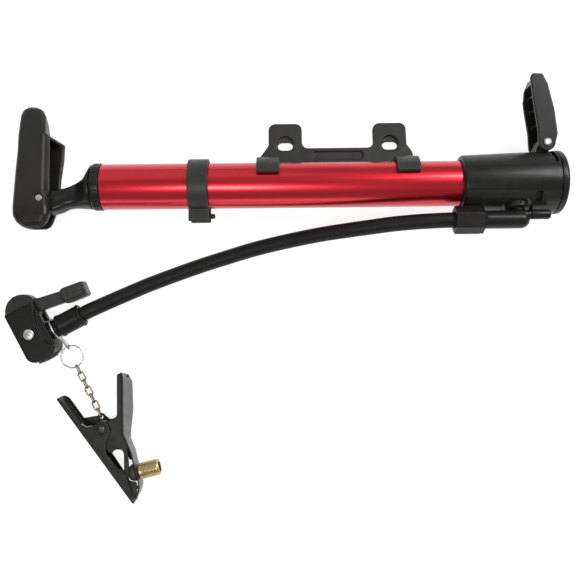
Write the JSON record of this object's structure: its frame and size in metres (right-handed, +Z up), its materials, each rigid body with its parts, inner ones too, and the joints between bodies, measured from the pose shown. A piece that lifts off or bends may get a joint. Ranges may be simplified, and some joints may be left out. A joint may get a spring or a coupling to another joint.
{
  "type": "mini pump",
  "caption": "Compact bicycle pump with a tube barrel, folding T-handle, foot pedal, frame bracket, swivelling hose, thumb-lock valve head and a chained spring-clip valve adapter.",
  "frame": {"origin": "on the surface the pump lies on, under the middle of the pump without its hose, head and clip", "axes": "+X from the handle to the base along the barrel, +Y towards the frame bracket's lugs and the foot pedal, +Z up"},
  "size_m": [0.3337, 0.2531, 0.0376],
  "materials": {
    "red_tube": "gloss red anodised",
    "black_body": "satin black moulding",
    "black_grip": "smooth black moulding",
    "black_head": "black moulding",
    "dark_rubber": "matt black rubber",
    "brown_rubber": "matt brown rubber seat",
    "steel": "bright steel",
    "chain": "thin steel wire with a coppery tint",
    "nickel": "dark nickel-plated sheet",
    "brass": "pale brass",
    "nut": "dark grey moulding",
    "alloy": "bare aluminium",
    "grey_plastic": "grey inner moulding"
  },
  "bodies": {
    "barrel": {"barrel": "red_tube", "gland_cap": "black_body", "rod_bushing": "grey_plastic", "gland_o_ring": "dark_rubber", "base_housing": "black_body", "base_end_cover": "black_body", "end_cover_screw": "steel", "valve_seat": "dark_rubber", "spring_retainer": "grey_plastic", "valve_spring": "steel", "frame_bracket": "black_body", "hose_clip": "black_body", "pedal_pin": "steel"},
    "poppet": {"valve_poppet": "grey_plastic"},
    "piston": {"piston": "grey_plastic", "piston_seal": "dark_rubber"},
    "rod": {"piston_rod": "alloy", "piston_bolt": "steel", "handle_stem": "black_grip", "handle_pin": "steel"},
    "handle": {"handle_grip": "black_grip"},
    "pedal": {"foot_pedal": "black_body"},
    "hose": {"swivel_elbow": "black_head", "swivel_washer": "steel", "swivel_o_ring": "dark_rubber", "elbow_plug": "black_head", "hose_nut": "nut", "hose_barb": "brass", "hose": "dark_rubber", "head_collar": "black_head", "head_body": "black_head", "valve_grommet": "brown_rubber", "valve_collar": "black_head", "lever_pin": "steel", "head_screw": "steel", "neck_loop": "steel"},
    "plunger": {"head_plunger": "grey_plastic"},
    "lever": {"head_lever": "black_head"},
    "tether": {"split_ring": "chain", "chain_link_1": "chain", "chain_link_2": "chain", "chain_link_3": "chain", "chain_link_4": "chain", "chain_link_5": "chain", "chain_link_6": "chain", "chain_link_7": "chain"},
    "clip": {"clip_left_half": "nickel", "clip_rivet": "steel", "clip_spring": "steel"},
    "clip_jaw": {"clip_right_half": "nickel", "brass_nozzle": "brass", "nozzle_seat": "brown_rubber"}
  },
  "joints": [
    {"name": "rod_slide", "type": "slide", "parent": "barrel", "child": "piston", "axis": [-1, 0, 0], "range_m": [0, 0.175]},
    {"name": "rod_spin", "type": "hinge", "parent": "piston", "child": "rod", "pos_m": [-0.00155, -0.01577, 0.0188], "axis": [1, 0, 0], "continuous": true},
    {"name": "handle_fold", "type": "hinge", "parent": "rod", "child": "handle", "pos_m": [-0.14545, -0.02534, 0.02089], "axis": [0, 0.213, 0.977], "range_deg": [0, 90]},
    {"name": "pedal_fold", "type": "hinge", "parent": "barrel", "child": "pedal", "pos_m": [0.15045, 0.00663, 0.0188], "axis": [0, 0, 1], "range_deg": [0, 80]},
    {"name": "hose_swivel", "type": "hinge", "parent": "barrel", "child": "hose", "pos_m": [0.13295, -0.01577, 0.0188], "axis": [0, -0.9063, 0.4226], "range_deg": [-120, 120]},
    {"name": "lever_pivot", "type": "hinge", "parent": "hose", "child": "lever", "pos_m": [-0.16235, -0.08957, 0.009], "axis": [0, 0, 1], "range_deg": [0, 90]},
    {"name": "plunger_slide", "type": "slide", "parent": "hose", "child": "plunger", "axis": [0.454, -0.891, 0], "range_m": [0, 0.0015]},
    {"name": "poppet_slide", "type": "slide", "parent": "barrel", "child": "poppet", "axis": [1, 0, 0], "range_m": [0, 0.0015], "stiffness_N_per_m": 200, "springref_m": -0.001, "deforming": ["valve_spring"]},
    {"name": "tether_swing", "type": "hinge", "parent": "hose", "child": "tether", "pos_m": [-0.13774, -0.11166, 0.0025], "axis": [0, 0, 1], "range_deg": [-8, 12]},
    {"name": "clip_swing", "type": "hinge", "parent": "tether", "child": "clip", "pos_m": [-0.1176, -0.15544, 0.00245], "axis": [0, 0, 1], "range_deg": [-15, 15]},
    {"name": "clip_open", "type": "hinge", "parent": "clip", "child": "clip_jaw", "pos_m": [-0.11535, -0.16147, 0.007], "axis": [0, 0, 1], "range_deg": [0, 15], "stiffness_Nm_per_rad": 0.3, "springref_deg": -17.19}
  ],
  "couplings": [
    {"joint": "plunger_slide", "follows": "lever_pivot", "m_per_rad": 0.00095}
  ]
}
